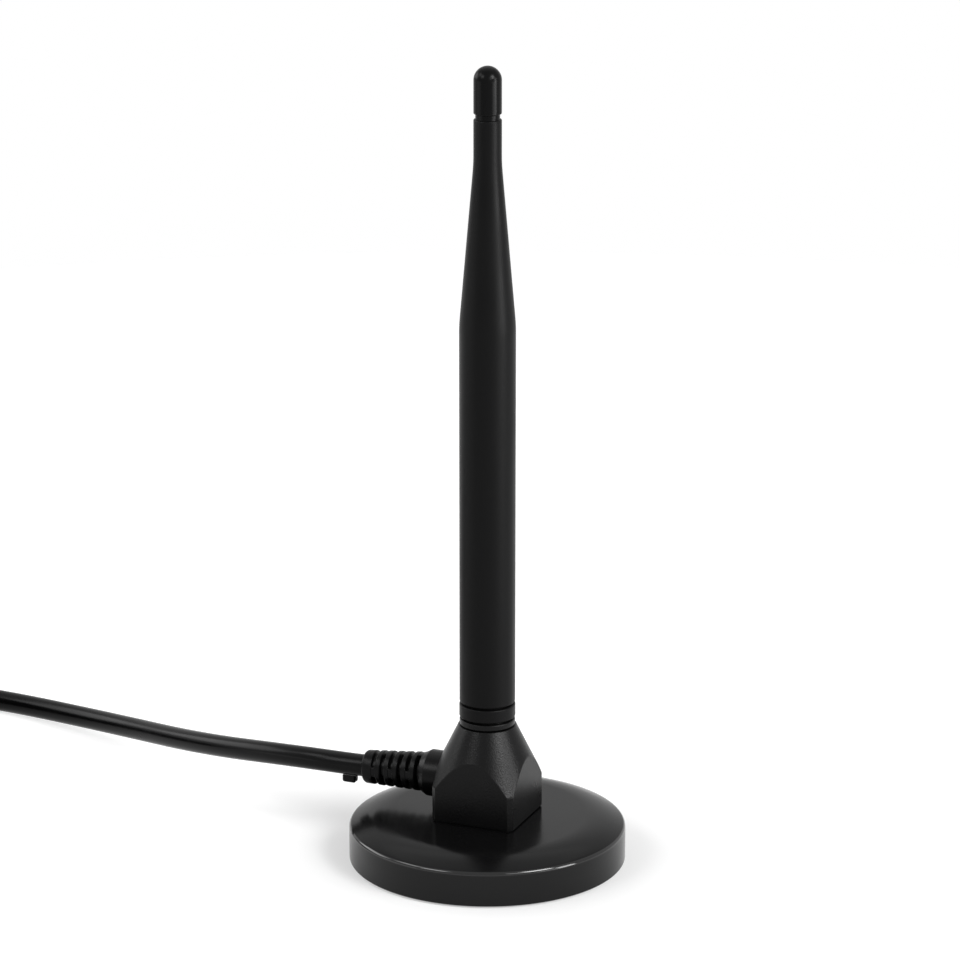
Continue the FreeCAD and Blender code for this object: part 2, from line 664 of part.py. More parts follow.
def plug_body():
    """Moulded plug: grooved flexible tail, tapered grip, front ring, seats for shell and pin."""
    corners = [(0, 0), (PLUG_TAIL_RADIUS, 0)]
    spread = (PLUG_TAIL_END_RADIUS - PLUG_TAIL_RADIUS) / PLUG_TAIL
    for i in range(PLUG_TAIL_GROOVES):
        end = PLUG_TAIL_GROOVE_PITCH * (i + 1)
        start = end - PLUG_TAIL_GROOVE_WIDTH
        bottom = PLUG_TAIL_RADIUS + spread * start - PLUG_TAIL_GROOVE_DEPTH
        corners += [
            (PLUG_TAIL_RADIUS + spread * start, start),
            (bottom, start),
            (bottom, end),
            (PLUG_TAIL_RADIUS + spread * end, end),
        ]
    corners += [
        (PLUG_TAIL_END_RADIUS, PLUG_TAIL),
        (PLUG_GRIP_RADIUS, PLUG_TAIL, PLUG_ROUND),
        (PLUG_GRIP_RADIUS, PLUG_FRONT - PLUG_RING),
        (PLUG_RING_RADIUS, PLUG_FRONT - PLUG_RING, PLUG_ROUND),
        (PLUG_RING_RADIUS, PLUG_FRONT, PLUG_ROUND),
        (0, PLUG_FRONT),
    ]
    body = turned(corners)
    body = body.cut(disc(PLUG_SEAT_RADIUS + STRAND_CLEARANCE, SHELL_FLOOR, PLUG_FRONT + CUT_PAST))
    return on_plug(body.cut(disc(PLUG_PIN_RADIUS + STRAND_CLEARANCE, PIN_FLOOR, PLUG_FRONT)))


def plug_shell():
    """Plug's outer contact tube on a wider seat, which lies flush in the plug's front."""
    inside = PLUG_SHELL_RADIUS - PLUG_SHELL_WALL
    return on_plug(turned([
        (inside, SHELL_FLOOR),
        (PLUG_SEAT_RADIUS, SHELL_FLOOR),
        (PLUG_SEAT_RADIUS, PLUG_FRONT),
        (PLUG_SHELL_RADIUS, PLUG_FRONT),
        (PLUG_SHELL_RADIUS, SHELL_TOP, PLUG_SHELL_ROUND),
        (inside, SHELL_TOP),
    ]))


def plug_insulator():
    """Disc that holds the pin in the shell."""
    radius = PLUG_SHELL_RADIUS - PLUG_SHELL_WALL - STRAND_CLEARANCE
    bore = PLUG_PIN_RADIUS + STRAND_CLEARANCE
    return on_plug(disc(radius, SHELL_FLOOR, SHELL_FLOOR + PLUG_INSULATOR, bore))


def plug_pin():
    """Centre pin with a round tip."""
    tip = SHELL_TOP + PLUG_PIN_PAST_SHELL
    return on_plug(turned([
        (0, PIN_FLOOR),
        (PLUG_PIN_RADIUS, PIN_FLOOR),
        (PLUG_PIN_RADIUS, tip, PLUG_PIN_RADIUS / 2),
        (0, tip),
    ]))


def main():
    path = lead_path()
    pieces = {
        "base_cover": base_cover(),
        "back_plate": back_plate(),
        "ring_magnet": disc(MAGNET_RADIUS, PAD_THICKNESS, PLATE_FLOOR, MAGNET_BORE_RADIUS),
        "base_pad": disc(BASE_BORE - PAD_CLEARANCE, 0, PAD_THICKNESS),
        "base_screws": base_screws(),
        "hub_housing": hub_housing(),
        "collar_ring": collar_ring(),
        "whip_sleeve": whip_sleeve(),
        "tip_cap": tip_cap(),
        "whip_ferrule": whip_ferrule(),
        "clamp_nut": clamp_nut(),
        "ground_lug": ground_lug(),
        "insulating_bush": insulating_bush(),
        "radiator_rod": radiator_rod(),
        "rod_spacer": rod_spacer(),
        "strain_relief": strain_relief(path),
        "coax_braid": along_lead(BRAID_RADIUS, -LEAD_END, -LEAD_END + BRAID_LENGTH,
                                 DIELECTRIC_RADIUS + STRAND_CLEARANCE),
        "coax_dielectric": along_lead(DIELECTRIC_RADIUS, -LEAD_END, -LEAD_END + DIELECTRIC_LENGTH,
                                      CONDUCTOR_RADIUS + STRAND_CLEARANCE),
        "coax_conductor": along_lead(CONDUCTOR_RADIUS, -LEAD_END, ROD_RADIUS + CONDUCTOR_PAST_ROD),
        "coax_lead": lead_tube(path, LEAD_RADIUS),
        "cable_nib": cable_nib(path),
        "cable_coil": cable_coil(),
        "coil_tie": coil_tie(),
        "plug_body": plug_body(),
        "plug_shell": plug_shell(),
        "plug_insulator": plug_insulator(),
        "plug_pin": plug_pin(),
    }
    os.makedirs("parts", exist_ok=True)
    for name, shape in pieces.items():
        shape.exportStep("parts/" + name + ".step")


main()
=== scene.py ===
import json
import math

import bpy
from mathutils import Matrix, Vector

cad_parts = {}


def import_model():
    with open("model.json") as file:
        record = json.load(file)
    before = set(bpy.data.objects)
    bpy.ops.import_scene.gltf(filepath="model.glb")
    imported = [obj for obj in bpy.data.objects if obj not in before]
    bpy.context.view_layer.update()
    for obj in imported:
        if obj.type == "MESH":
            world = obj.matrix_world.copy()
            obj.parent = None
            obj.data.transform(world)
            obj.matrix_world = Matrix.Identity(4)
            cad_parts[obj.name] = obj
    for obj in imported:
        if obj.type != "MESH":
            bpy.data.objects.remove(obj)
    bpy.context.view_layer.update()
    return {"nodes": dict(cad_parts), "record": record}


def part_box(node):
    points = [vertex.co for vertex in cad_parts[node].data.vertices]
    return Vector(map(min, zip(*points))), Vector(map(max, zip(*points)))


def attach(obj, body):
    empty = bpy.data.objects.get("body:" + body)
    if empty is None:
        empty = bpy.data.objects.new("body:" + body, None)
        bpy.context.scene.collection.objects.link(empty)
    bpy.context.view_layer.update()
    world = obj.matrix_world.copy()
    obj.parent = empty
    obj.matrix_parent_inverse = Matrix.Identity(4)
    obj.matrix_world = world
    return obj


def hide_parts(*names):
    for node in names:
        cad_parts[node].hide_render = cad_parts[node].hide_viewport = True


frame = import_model()

# Indoor TV antenna. Metres, in the CAD model's frame: +Z is up and the lead leaves towards -X.
MM = 0.001


def top(node):
    """Highest point of a CAD node."""
    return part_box(node)[1].z


def foot(node):
    """Lowest point of a CAD node."""
    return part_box(node)[0].z


def reach(node):
    """How far a CAD node reaches from the middle along X: its radius, or half its width."""
    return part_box(node)[1].x


# Base
BASE_RADIUS = reach("base_cover")
BASE_TOP = top("base_cover")
BASE_FOOT = foot("base_cover")
BASE_FINISHES = ["base_plastic", "base_side_plastic", "base_rim_plastic"]
BASE_SIDE_WALL = 2.0 * MM
BASE_TOP_WALL = 2.2 * MM
RIM_HEIGHT = 8.7 * MM
RIM_ROUND = 1.0 * MM
SLOPE_RADIUS = 28.1 * MM
SLOPE_BLEND = 19.0 * MM
SLOPE_INSET = 1.5 * MM
FOOT_ROUND = 0.3 * MM

# Hub
HUB_HALF = reach("hub_housing")
HUB_CHAMFER = 1.15 * MM
HUB_CHAMFER_BLEND = 0.1 * MM
HUB_FOOT = foot("hub_housing")
HUB_FOOT_GAP = 0.25 * MM
HUB_FOOT_INSET = 0.4 * MM
HUB_FOOT_ROUND = 0.15 * MM
HUB_WALL = 1.9 * MM
HUB_CROWN = 4.6 * MM
CONE_TOP_RADIUS = 6.92 * MM
CONE_SPREAD = 0.49
CONE_TOP_ROUND = 0.2 * MM
ARC_ROUND = 1.2 * MM
SEAM_HEIGHT = 0.2 * MM
LIP_HEIGHT = 1.45 * MM
LIP_RADIUS = 6.62 * MM
LIP_ROUND = 0.25 * MM
GROOVE_HEIGHT = 0.5 * MM
GROOVE_RADIUS = 5.6 * MM
NECK_BORE = 3.1 * MM
NECK_TOP = top("hub_housing")
CONE_TOP = NECK_TOP - GROOVE_HEIGHT - LIP_HEIGHT - SEAM_HEIGHT

# Collar, whip and cap
WHIP_FOOT = foot("whip_sleeve")
WHIP_TOP = top("whip_sleeve")
WHIP_RADIUS = reach("whip_sleeve")
WHIP_BORE = 4.75 * MM
COLLAR_RADIUS = reach("collar_ring")
COLLAR_ROUND = 0.3 * MM
WHIP_FOOT_ROUND = 0.35 * MM
TAPER_START = WHIP_FOOT + 92.3 * MM
TAPER_END = TAPER_START + 38.3 * MM
TAPER_BLEND = 45.0 * MM
WHIP_TIP_RADIUS = 3.28 * MM
WHIP_TIP_ROUND = 0.35 * MM
BORE_TAPER_START = WHIP_FOOT + 88.0 * MM
BORE_TAPER_END = WHIP_FOOT + 125.0 * MM
CAP_TOP = top("tip_cap")
CAP_SPIGOT_FOOT = foot("tip_cap")
CAP_RADIUS = reach("tip_cap")
CAP_BORE = 1.8 * MM
CAP_SPIGOT_RADIUS = 1.75 * MM
CAP_GROOVE = 1.2 * MM
CAP_GROOVE_RADIUS = 2.86 * MM
CAP_FOOT_ROUND = 0.3 * MM

# Strain relief and the lead in it; distances along the boot are from the hub's face
LEAD_DIAMETER = 5.4 * MM
LEAD_RADIUS = LEAD_DIAMETER / 2
LEAD_Z = HUB_FOOT + 8.25 * MM
BOOT_BORE = LEAD_RADIUS + 0.075 * MM
BOOT_FLANGE_RADIUS = 4.3 * MM
BOOT_FLANGE = 1.3 * MM
BOOT_PORT_RADIUS = 3.5 * MM
BOOT_COLLAR_RADIUS = 5.65 * MM
BOOT_COLLAR = 5.5 * MM
BOOT_COLLAR_CHAMFER = 1.3 * MM
BOOT_COLLAR_STEP = 0.12 * MM
BOOT_LENGTH = 21.1 * MM
BOOT_START_RADIUS = 4.8 * MM
BOOT_END_RADIUS = 4.0 * MM
BOOT_CORE_RADIUS = 3.3 * MM
BOOT_DROOP = math.radians(3.05)
BOOT_SLOT_COUNT = 6
BOOT_SLOT_PITCH = 2.3 * MM
BOOT_SLOT_WIDTH = 1.1 * MM
BOOT_FIRST_SLOT = 6.3 * MM
BOOT_EDGE_ROUND = 0.25 * MM
BOOT_NOSE_ROUND = 0.8 * MM
BOOT_WEB_WIDTH = 2.5 * MM
BOOT_WEB_RECESS = 0.12 * MM
BOOT_WALL_SLOPE = 0.06 * MM
BOOT_RING_STEP = 0.06 * MM

# Lead: the coil of the length that isn't seen, the route from hub to coil, and the coil's band
NOSE_Z = LEAD_Z - (BOOT_LENGTH - BOOT_COLLAR) * math.tan(BOOT_DROOP)
COIL_CENTRE = Vector((-201.0 * MM, 12.3 * MM, 0))
COIL_MEAN_RADIUS = 27.5 * MM
COIL_COLUMNS = 4
COIL_ROWS = 4
COIL_OUTER_RADIUS = COIL_MEAN_RADIUS + (COIL_COLUMNS - 1) * LEAD_RADIUS
COIL_STUB = 22.0 * MM
COIL_POINTS_PER_TURN = 16
COIL_HOLD = 0.7
# Row and column of each turn, in the order of winding; a turn moves on after its hold
COIL_CELLS = [
    (0, 3), (0, 2), (0, 1), (0, 0), (1, 0), (1, 1), (1, 2), (2, 2),
    (2, 1), (2, 0), (3, 0), (3, 1), (3, 2), (3, 3), (2, 3), (1, 3),
]
# Control points of the free stretch, from inside the hub
LEAD_ROUTE = [
    (-7.2 * MM, 0, LEAD_Z),
    (-15.9 * MM, 0, LEAD_Z),
    (-31.5 * MM, 0, NOSE_Z),
    (-50.0 * MM, 0.4 * MM, 18.45 * MM),
    (-82.0 * MM, 13.6 * MM, 12.6 * MM),
    (-118.0 * MM, 36.2 * MM, 5.4 * MM),
    (-155.0 * MM, 47.9 * MM, LEAD_RADIUS),
    (-179.0 * MM, 47.9 * MM, LEAD_RADIUS),
]
TIE_ANGLE = math.radians(240)
TIE_SWEEP = math.radians(16)
TIE_THICKNESS = 0.6 * MM
TIE_LIFT_REACH = math.radians(40)

# Where the lead's stub goes into the plug
PLUG_ENTRY = Vector((
    COIL_CENTRE.x - COIL_OUTER_RADIUS,
    COIL_CENTRE.y - COIL_STUB,
    LEAD_RADIUS + LEAD_DIAMETER,
))

# Camera: the photograph's view of 960 by 960 pixels
IMAGE_PIXELS = 960
FOCAL_PIXELS = 4500
SENSOR_WIDTH = 36.0
CAMERA_AZIMUTH = math.radians(22.2)
CAMERA_PITCH = math.radians(16.9)
CAMERA_DISTANCE = 1008.7 * MM
CAMERA_HEIGHT = 400.96 * MM
CAMERA_SIDESTEP = 1.75 * MM

# Mesh fineness
TURN_STEPS = 192
ARC_STEP = math.radians(7)
ARC_LEAST_STEPS = 3
SHARP_ANGLE = math.radians(40)
HUB_FACE_STEPS = 16
HUB_EDGE_STEPS = 12
HUB_CHAMFER_STEPS = 2
LEAD_STEPS = 12
LEAD_ROUND_STEPS = 8


# Shapes

def add(name, data):
    """New object in the scene."""
    piece = bpy.data.objects.new(name, data)
    bpy.context.scene.collection.objects.link(piece)
    return piece


def upright(radius, height, angle):
    """Point about Z."""
    return Vector((radius * math.cos(angle), radius * math.sin(angle), height))


def on_boot(radius, distance, angle):
    """Point about the boot's axis, which droops past its collar; angle 0 is up."""
    droop = BOOT_DROOP if distance > BOOT_COLLAR else 0.0
    past = distance - BOOT_COLLAR
    rise = radius * math.cos(angle)
    return Vector((
        -HUB_HALF - BOOT_COLLAR - past * math.cos(droop) - rise * math.sin(droop),
        radius * math.sin(angle),
        LEAD_Z - past * math.sin(droop) + rise * math.cos(droop),
    ))


def rounded(corners):
    """Closed outline of (radius, height) points; a third number rounds that corner."""
    points = []
    for i, corner in enumerate(corners):
        here = Vector(corner[:2])
        if len(corner) == 2:
            points.append(here)
            continue
        back = (Vector(corners[i - 1][:2]) - here).normalized()
        ahead = (Vector(corners[(i + 1) % len(corners)][:2]) - here).normalized()
        half = back.angle(ahead) / 2
        centre = here + (back + ahead).normalized() * (corner[2] / math.sin(half))
        start = here + back * (corner[2] / math.tan(half)) - centre
        end = here + ahead * (corner[2] / math.tan(half)) - centre
        sweep = start.angle_signed(end)
        steps = max(ARC_LEAST_STEPS, math.ceil(abs(sweep) / ARC_STEP))
        for k in range(steps + 1):
            turn = -sweep * k / steps
            points.append(centre + Vector((
                start.x * math.cos(turn) - start.y * math.sin(turn),
                start.x * math.sin(turn) + start.y * math.cos(turn),
            )))
    return points


def ring_mesh(name, rings):
    """Closed piece through rings of points, the last joined to the first; a ring of one point is a pole."""
    points = []
    firsts = []
    for ring in rings:
        firsts.append(len(points))
        points += ring
    faces = []
    for i, ring in enumerate(rings):
        j = (i + 1) % len(rings)
        count = max(len(ring), len(rings[j]))
        if count == 1:
            continue
        for k in range(count):
            here = [firsts[i] + k, firsts[i] + (k + 1) % count] if len(ring) > 1 else [firsts[i]]
            over = [firsts[j] + (k + 1) % count, firsts[j] + k] if len(rings[j]) > 1 else [firsts[j]]
            faces.append(here + over)
    mesh = bpy.data.meshes.new(name)
    mesh.from_pydata(points, [], faces)
    mesh.validate()
    mesh.shade_smooth()
    mesh.set_sharp_from_angle(angle=SHARP_ANGLE)
    piece = add(name, mesh)
    normals = piece.modifiers.new("even_normals", "WEIGHTED_NORMAL")
    normals.keep_sharp = True
    return piece


def turn_angles(steps=TURN_STEPS):
    """Even angles of one full turn."""
    return [2 * math.pi * k / steps for k in range(steps)]


def turned_rings(corners, place):
    """Rings of a turned form from its closed half outline."""
    rings = []
    for point in rounded(corners):
        angles = turn_angles() if point.x > 0 else [0.0]
        rings.append([place(point.x, point.y, angle) for angle in angles])
    return rings


def turned(name, corners):
    """Upright turned piece from its closed half outline."""
    return ring_mesh(name, turned_rings(corners, upright))


def base_shell():
    """Round base with a convex ring, hollow below; its side takes a second finish and its rim a third."""
    ceiling = BASE_TOP - BASE_TOP_WALL
    bore = BASE_RADIUS - BASE_SIDE_WALL
    piece = turned("base_shell", [
        (0, BASE_TOP),
        (SLOPE_RADIUS, BASE_TOP, SLOPE_BLEND),
        (BASE_RADIUS, RIM_HEIGHT, RIM_ROUND),
        (BASE_RADIUS, BASE_FOOT, FOOT_ROUND),
        (bore, BASE_FOOT),
        (bore, RIM_HEIGHT - BASE_TOP_WALL),
        (SLOPE_RADIUS - SLOPE_INSET, ceiling),
        (0, ceiling),
    ])
    for face in piece.data.polygons:
        if face.center.xy.length > BASE_RADIUS - RIM_ROUND / 2:
            on_rim = face.center.z > RIM_HEIGHT - RIM_ROUND
            finish = "base_rim_plastic" if on_rim else "base_side_plastic"
            face.material_index = BASE_FINISHES.index(finish)
    return piece


def soft_min(a, b, blend):
    """Smaller of two values, with the change from one to the other rounded over a blend."""
    share = min(max(0.5 + 0.5 * (b - a) / blend, 0), 1)
    return b + (a - b) * share - blend * share * (1 - share)


def square_radius(half, angle):
    """Distance from the middle of a square with chamfered corners to its side."""
    x = max(abs(math.cos(angle)), abs(math.sin(angle)))
    y = min(abs(math.cos(angle)), abs(math.sin(angle)))
    return soft_min(half / x, (2 * half - HUB_CHAMFER) / (x + y), HUB_CHAMFER_BLEND)


def hub_angles():
    """Angles round the hub, closer together at the chamfers of its four edges."""
    edge = math.atan2(HUB_HALF - HUB_CHAMFER, HUB_HALF)
    near = 2 * HUB_CHAMFER_BLEND / HUB_HALF
    chamfer = math.pi / 4 - edge - near
    steps = [(edge - near) * k / HUB_FACE_STEPS for k in range(HUB_FACE_STEPS)]
    steps += [edge - near + 2 * near * k / HUB_EDGE_STEPS for k in range(HUB_EDGE_STEPS)]
    steps += [edge + near + chamfer * k / HUB_CHAMFER_STEPS for k in range(HUB_CHAMFER_STEPS + 1)]
    eighth = steps + [math.pi / 2 - angle for angle in reversed(steps[1:-1])]
    return [angle + math.pi / 2 * quarter for quarter in range(4) for angle in eighth]


def hub_outline(angle):
    """Closed half outline of the hub at one angle: side, cone, neck lip and the hollow inside."""
    side = square_radius(HUB_HALF, angle)
    inside = square_radius(HUB_HALF - HUB_WALL, angle)
    ceiling = CONE_TOP - HUB_CROWN
    inside_top = CONE_TOP_RADIUS + CONE_SPREAD * HUB_CROWN - HUB_WALL * math.sqrt(1 + CONE_SPREAD ** 2)
    lip_floor = CONE_TOP + SEAM_HEIGHT
    lip_top = lip_floor + LIP_HEIGHT
    return rounded([
        (side - HUB_FOOT_INSET, HUB_FOOT),
        (side - HUB_FOOT_INSET, HUB_FOOT + HUB_FOOT_GAP),
        (side, HUB_FOOT + HUB_FOOT_GAP, HUB_FOOT_ROUND),
        (side, CONE_TOP - (side - CONE_TOP_RADIUS) / CONE_SPREAD, ARC_ROUND),
        (CONE_TOP_RADIUS, CONE_TOP, CONE_TOP_ROUND),
        (GROOVE_RADIUS, CONE_TOP),
        (GROOVE_RADIUS, lip_floor),
        (LIP_RADIUS, lip_floor, LIP_ROUND),
        (LIP_RADIUS, lip_top, LIP_ROUND),
        (GROOVE_RADIUS, lip_top),
        (GROOVE_RADIUS, NECK_TOP),
        (NECK_BORE, NECK_TOP),
        (NECK_BORE, ceiling),
        (inside_top, ceiling),
        (inside, ceiling - (inside - inside_top) / CONE_SPREAD),
        (inside, HUB_FOOT),
    ])


def hub():
    """Hub: square below, cone above, neck lip and groove, hollow."""
    angles = hub_angles()
    outlines = [hub_outline(angle) for angle in angles]
    rings = []
    for points in zip(*outlines):
        rings.append([upright(point.x, point.y, angle) for point, angle in zip(points, angles)])
    return ring_mesh("hub", rings)


def boot_radius(distance):
    """Outside of the ribs, which narrow towards the nose."""
    share = (distance - BOOT_COLLAR) / (BOOT_LENGTH - BOOT_COLLAR)
    return BOOT_START_RADIUS + share * (BOOT_END_RADIUS - BOOT_START_RADIUS)


def ribbed_radius(distance, angle):
    """Outside of the ribbed part; webs cross its slots by turns at the sides and at top and bottom."""
    radius = boot_radius(distance)
    half = BOOT_SLOT_WIDTH / 2
    slot = round((distance - BOOT_FIRST_SLOT) / BOOT_SLOT_PITCH)
    slot = min(max(slot, 0), BOOT_SLOT_COUNT - 1)
    off = abs(distance - BOOT_FIRST_SLOT - BOOT_SLOT_PITCH * slot)
    sideways = (BOOT_SLOT_COUNT - 1 - slot) % 2 == 0
    across = radius * abs(math.cos(angle) if sideways else math.sin(angle))
    gap_end = BOOT_WEB_WIDTH / 2 + half
    clear = off - half if across > gap_end else math.hypot(across - gap_end, off) - half
    if off < half:
        radius -= BOOT_WEB_RECESS * min(1, (half - off) / BOOT_WALL_SLOPE)
    if clear >= BOOT_EDGE_ROUND:
        return radius
    if clear >= 0:
        short = 1 - clear / BOOT_EDGE_ROUND
        return radius - BOOT_EDGE_ROUND * (1 - math.sqrt(1 - short ** 2))
    share = min(1, -clear / BOOT_WALL_SLOPE)
    edge = radius - BOOT_EDGE_ROUND
    return edge + (BOOT_CORE_RADIUS - edge) * share


def boot():
    """Slotted strain relief: flange and neck in the hub's wall, chamfered collar, ribs, round nose."""
    inner = turned_rings([
        (BOOT_BORE, BOOT_LENGTH),
        (BOOT_BORE, -HUB_WALL - BOOT_FLANGE),
        (BOOT_FLANGE_RADIUS, -HUB_WALL - BOOT_FLANGE),
        (BOOT_FLANGE_RADIUS, -HUB_WALL),
        (BOOT_PORT_RADIUS, -HUB_WALL),
        (BOOT_PORT_RADIUS, 0),
        (BOOT_COLLAR_RADIUS, 0, BOOT_EDGE_ROUND),
        (BOOT_COLLAR_RADIUS, BOOT_COLLAR - BOOT_COLLAR_CHAMFER, BOOT_EDGE_ROUND),
        (BOOT_START_RADIUS + BOOT_COLLAR_STEP, BOOT_COLLAR),
    ], on_boot)
    last_slot = BOOT_FIRST_SLOT + BOOT_SLOT_PITCH * (BOOT_SLOT_COUNT - 1)
    ribs_end = last_slot + BOOT_SLOT_WIDTH / 2 + BOOT_EDGE_ROUND
    count = math.ceil((ribs_end - BOOT_COLLAR) / BOOT_RING_STEP)
    rings = []
    for i in range(1, count + 1):
        distance = BOOT_COLLAR + (ribs_end - BOOT_COLLAR) * i / count
        rings.append([on_boot(ribbed_radius(distance, angle), distance, angle) for angle in turn_angles()])
    nose = rounded([
        (BOOT_BORE, ribs_end),
        (boot_radius(ribs_end), ribs_end),
        (BOOT_END_RADIUS, BOOT_LENGTH, BOOT_NOSE_ROUND),
        (BOOT_BORE, BOOT_LENGTH),
    ])
    nose_arc = nose[2:-1]
    rings += [[on_boot(point.x, point.y, angle) for angle in turn_angles()] for point in nose_arc]
    return ring_mesh("boot", inner + rings)


def collar():
    """Ring between hub and whip, with a step that leaves a groove above it."""
    low = NECK_TOP
    high = WHIP_FOOT - GROOVE_HEIGHT
    return turned("collar", [
        (WHIP_BORE, low),
        (COLLAR_RADIUS, low, COLLAR_ROUND),
        (COLLAR_RADIUS, high, COLLAR_ROUND),
        (GROOVE_RADIUS, high),
        (GROOVE_RADIUS, WHIP_FOOT),
        (WHIP_BORE, WHIP_FOOT),
    ])


def whip():
    """Hollow tapered whip."""
    return turned("whip", [
        (WHIP_BORE, WHIP_FOOT),
        (WHIP_RADIUS, WHIP_FOOT, WHIP_FOOT_ROUND),
        (WHIP_RADIUS, TAPER_START, TAPER_BLEND),
        (WHIP_TIP_RADIUS, TAPER_END, TAPER_BLEND),
        (WHIP_TIP_RADIUS, WHIP_TOP, WHIP_TIP_ROUND),
        (CAP_BORE, WHIP_TOP),
        (CAP_BORE, BORE_TAPER_END),
        (WHIP_BORE, BORE_TAPER_START),
    ])


def cap():
    """Domed tip with a groove under it and a spigot in the whip."""
    return turned("cap", [
        (0, CAP_SPIGOT_FOOT),
        (CAP_SPIGOT_RADIUS, CAP_SPIGOT_FOOT),
        (CAP_SPIGOT_RADIUS, WHIP_TOP),
        (CAP_GROOVE_RADIUS, WHIP_TOP),
        (CAP_GROOVE_RADIUS, WHIP_TOP + CAP_GROOVE),
        (CAP_RADIUS, WHIP_TOP + CAP_GROOVE, CAP_FOOT_ROUND),
        (CAP_RADIUS, CAP_TOP, CAP_RADIUS),
        (0, CAP_TOP),
    ])


# Lead

def coil_points():
    """Control points of the coil: a turn in each cell of the bundle, then a quarter turn to the stub."""
    step = 2 * math.pi / COIL_POINTS_PER_TURN
    # A curve of order 3 passes at three quarters of a control point and an eighth of each neighbour,
    # so the points lie further out than the turn
    swell = 1 / (0.75 + 0.25 * math.cos(step))
    points = []
    cells = COIL_CELLS + [COIL_CELLS[-1]]
    quarter_turn = COIL_POINTS_PER_TURN // 4
    for i in range(len(COIL_CELLS) * COIL_POINTS_PER_TURN + quarter_turn + 1):
        turn, share = divmod(i / COIL_POINTS_PER_TURN, 1)
        here = cells[int(turn)]
        after = cells[min(int(turn) + 1, len(cells) - 1)]
        shift = max(0, (share - COIL_HOLD) / (1 - COIL_HOLD))
        shift = shift * shift * (3 - 2 * shift)
        row = here[0] + (after[0] - here[0]) * shift
        column = here[1] + (after[1] - here[1]) * shift
        angle = math.pi / 2 + step * i
        radius = COIL_MEAN_RADIUS + (column - (COIL_COLUMNS - 1) / 2) * LEAD_DIAMETER
        height = LEAD_RADIUS + row * LEAD_DIAMETER + tie_lift(angle) * (1 - row / (COIL_ROWS - 1))
        points.append(COIL_CENTRE + upright(radius * (swell if i else 1), height, angle))
    return points


def tie_lift(angle):
    """How far the coil's lowest turns rise to pass over its band."""
    off = abs((angle - TIE_ANGLE + math.pi) % (2 * math.pi) - math.pi)
    share = max(0, 1 - max(0, off - TIE_SWEEP / 2) / TIE_LIFT_REACH)
    return TIE_THICKNESS * share


def lead():
    """The whole lead on one smooth line: free stretch, coil and the stub that goes into the plug."""
    points = [Vector(point) for point in LEAD_ROUTE]
    points += coil_points()
    points.append(PLUG_ENTRY)
    curve = bpy.data.curves.new("lead", "CURVE")
    curve.dimensions = "3D"
    spline = curve.splines.new("NURBS")
    spline.points.add(len(points) - 1)
    for control, point in zip(spline.points, points):
        control.co = (*point, 1)
    spline.order_u = 3
    spline.use_endpoint_u = True
    spline.resolution_u = LEAD_STEPS
    curve.bevel_depth = LEAD_RADIUS
    curve.bevel_resolution = LEAD_ROUND_STEPS
    curve.use_fill_caps = True
    return add("lead", curve)


# Finishes
NOISE_DETAIL = 2.0
NOISE_LOW = 0.3
NOISE_HIGH = 0.7
MOTTLE = 0.04
MOTTLE_SCALE = 0.08 / MM
METAL_SPECULAR = 0.5
SCRATCH_SCALE = 1.5 / MM
SCRATCH_DETAIL = 4.0
SCRATCH_SPREAD = 0.3
BLACK = (0.002, 0.002, 0.0021)

# Colour, roughness, specular level, the grain's size and depth, and the mottling where it is another one
PLASTICS = {
    "base_plastic": (BLACK, 0.2, 0.087, 0.12 * MM, 0.001 * MM),
    "base_side_plastic": (BLACK, 0.2, 0.215, 0.12 * MM, 0.001 * MM),
    "base_rim_plastic": (BLACK, 0.08, 0.42, 0.12 * MM, 0.001 * MM, 0.02),
    "hub_plastic": (BLACK, 0.3, 0.125, 0.4 * MM, 0.045 * MM),
    "whip_plastic": (BLACK, 0.4, 0.084, 0.25 * MM, 0.005 * MM),
    "cap_plastic": (BLACK, 0.24, 0.072, 0.5 * MM, 0.0002 * MM),
    "boot_rubber": (BLACK, 0.28, 0.09, 0.2 * MM, 0.004 * MM),
    "lead_jacket": (BLACK, 0.24, 0.09, 0.3 * MM, 0.004 * MM),
    "plug_plastic": (BLACK, 0.4, 0.25, 0.25 * MM, 0.01 * MM),
    "pad_rubber": ((0.02, 0.02, 0.02), 0.8, 0.3, 0.5 * MM, 0.03 * MM),
    "white_insulation": ((0.75, 0.75, 0.72), 0.45, 0.4, 0.4 * MM, 0.005 * MM),
    "ferrite": ((0.05, 0.05, 0.052), 0.7, 0.4, 0.3 * MM, 0.01 * MM),
    "tie_fabric": ((0.015, 0.015, 0.015), 0.9, 0.2, 0.4 * MM, 0.1 * MM),
}

# Colour and roughness
METALS = {
    "steel": ((0.55, 0.55, 0.55), 0.32),
    "brass_parts": ((0.7, 0.52, 0.24), 0.3),
    "copper": ((0.75, 0.38, 0.22), 0.3),
    "tinned_braid": ((0.6, 0.58, 0.54), 0.4),
    "plug_metal": ((0.68, 0.67, 0.64), 0.2),
}


def finish_nodes(name, colour, roughness, specular):
    """New material with its even values set on the shader, and the shader's node tree."""
    material = bpy.data.materials.new(name)
    material.use_nodes = True
    tree = material.node_tree
    shader = tree.nodes["Principled BSDF"]
    shader.inputs["Base Color"].default_value = (*colour, 1)
    shader.inputs["Roughness"].default_value = roughness
    shader.inputs["Specular IOR Level"].default_value = specular
    return material, tree, shader


def noise(tree, scale, detail=NOISE_DETAIL):
    """Noise in the object's own coordinates; scale is in repeats to the metre."""
    place = tree.nodes.new("ShaderNodeTexCoord")
    texture = tree.nodes.new("ShaderNodeTexNoise")
    texture.inputs["Scale"].default_value = scale
    texture.inputs["Detail"].default_value = detail
    tree.links.new(place.outputs["Object"], texture.inputs["Vector"])
    return texture.outputs["Fac"]


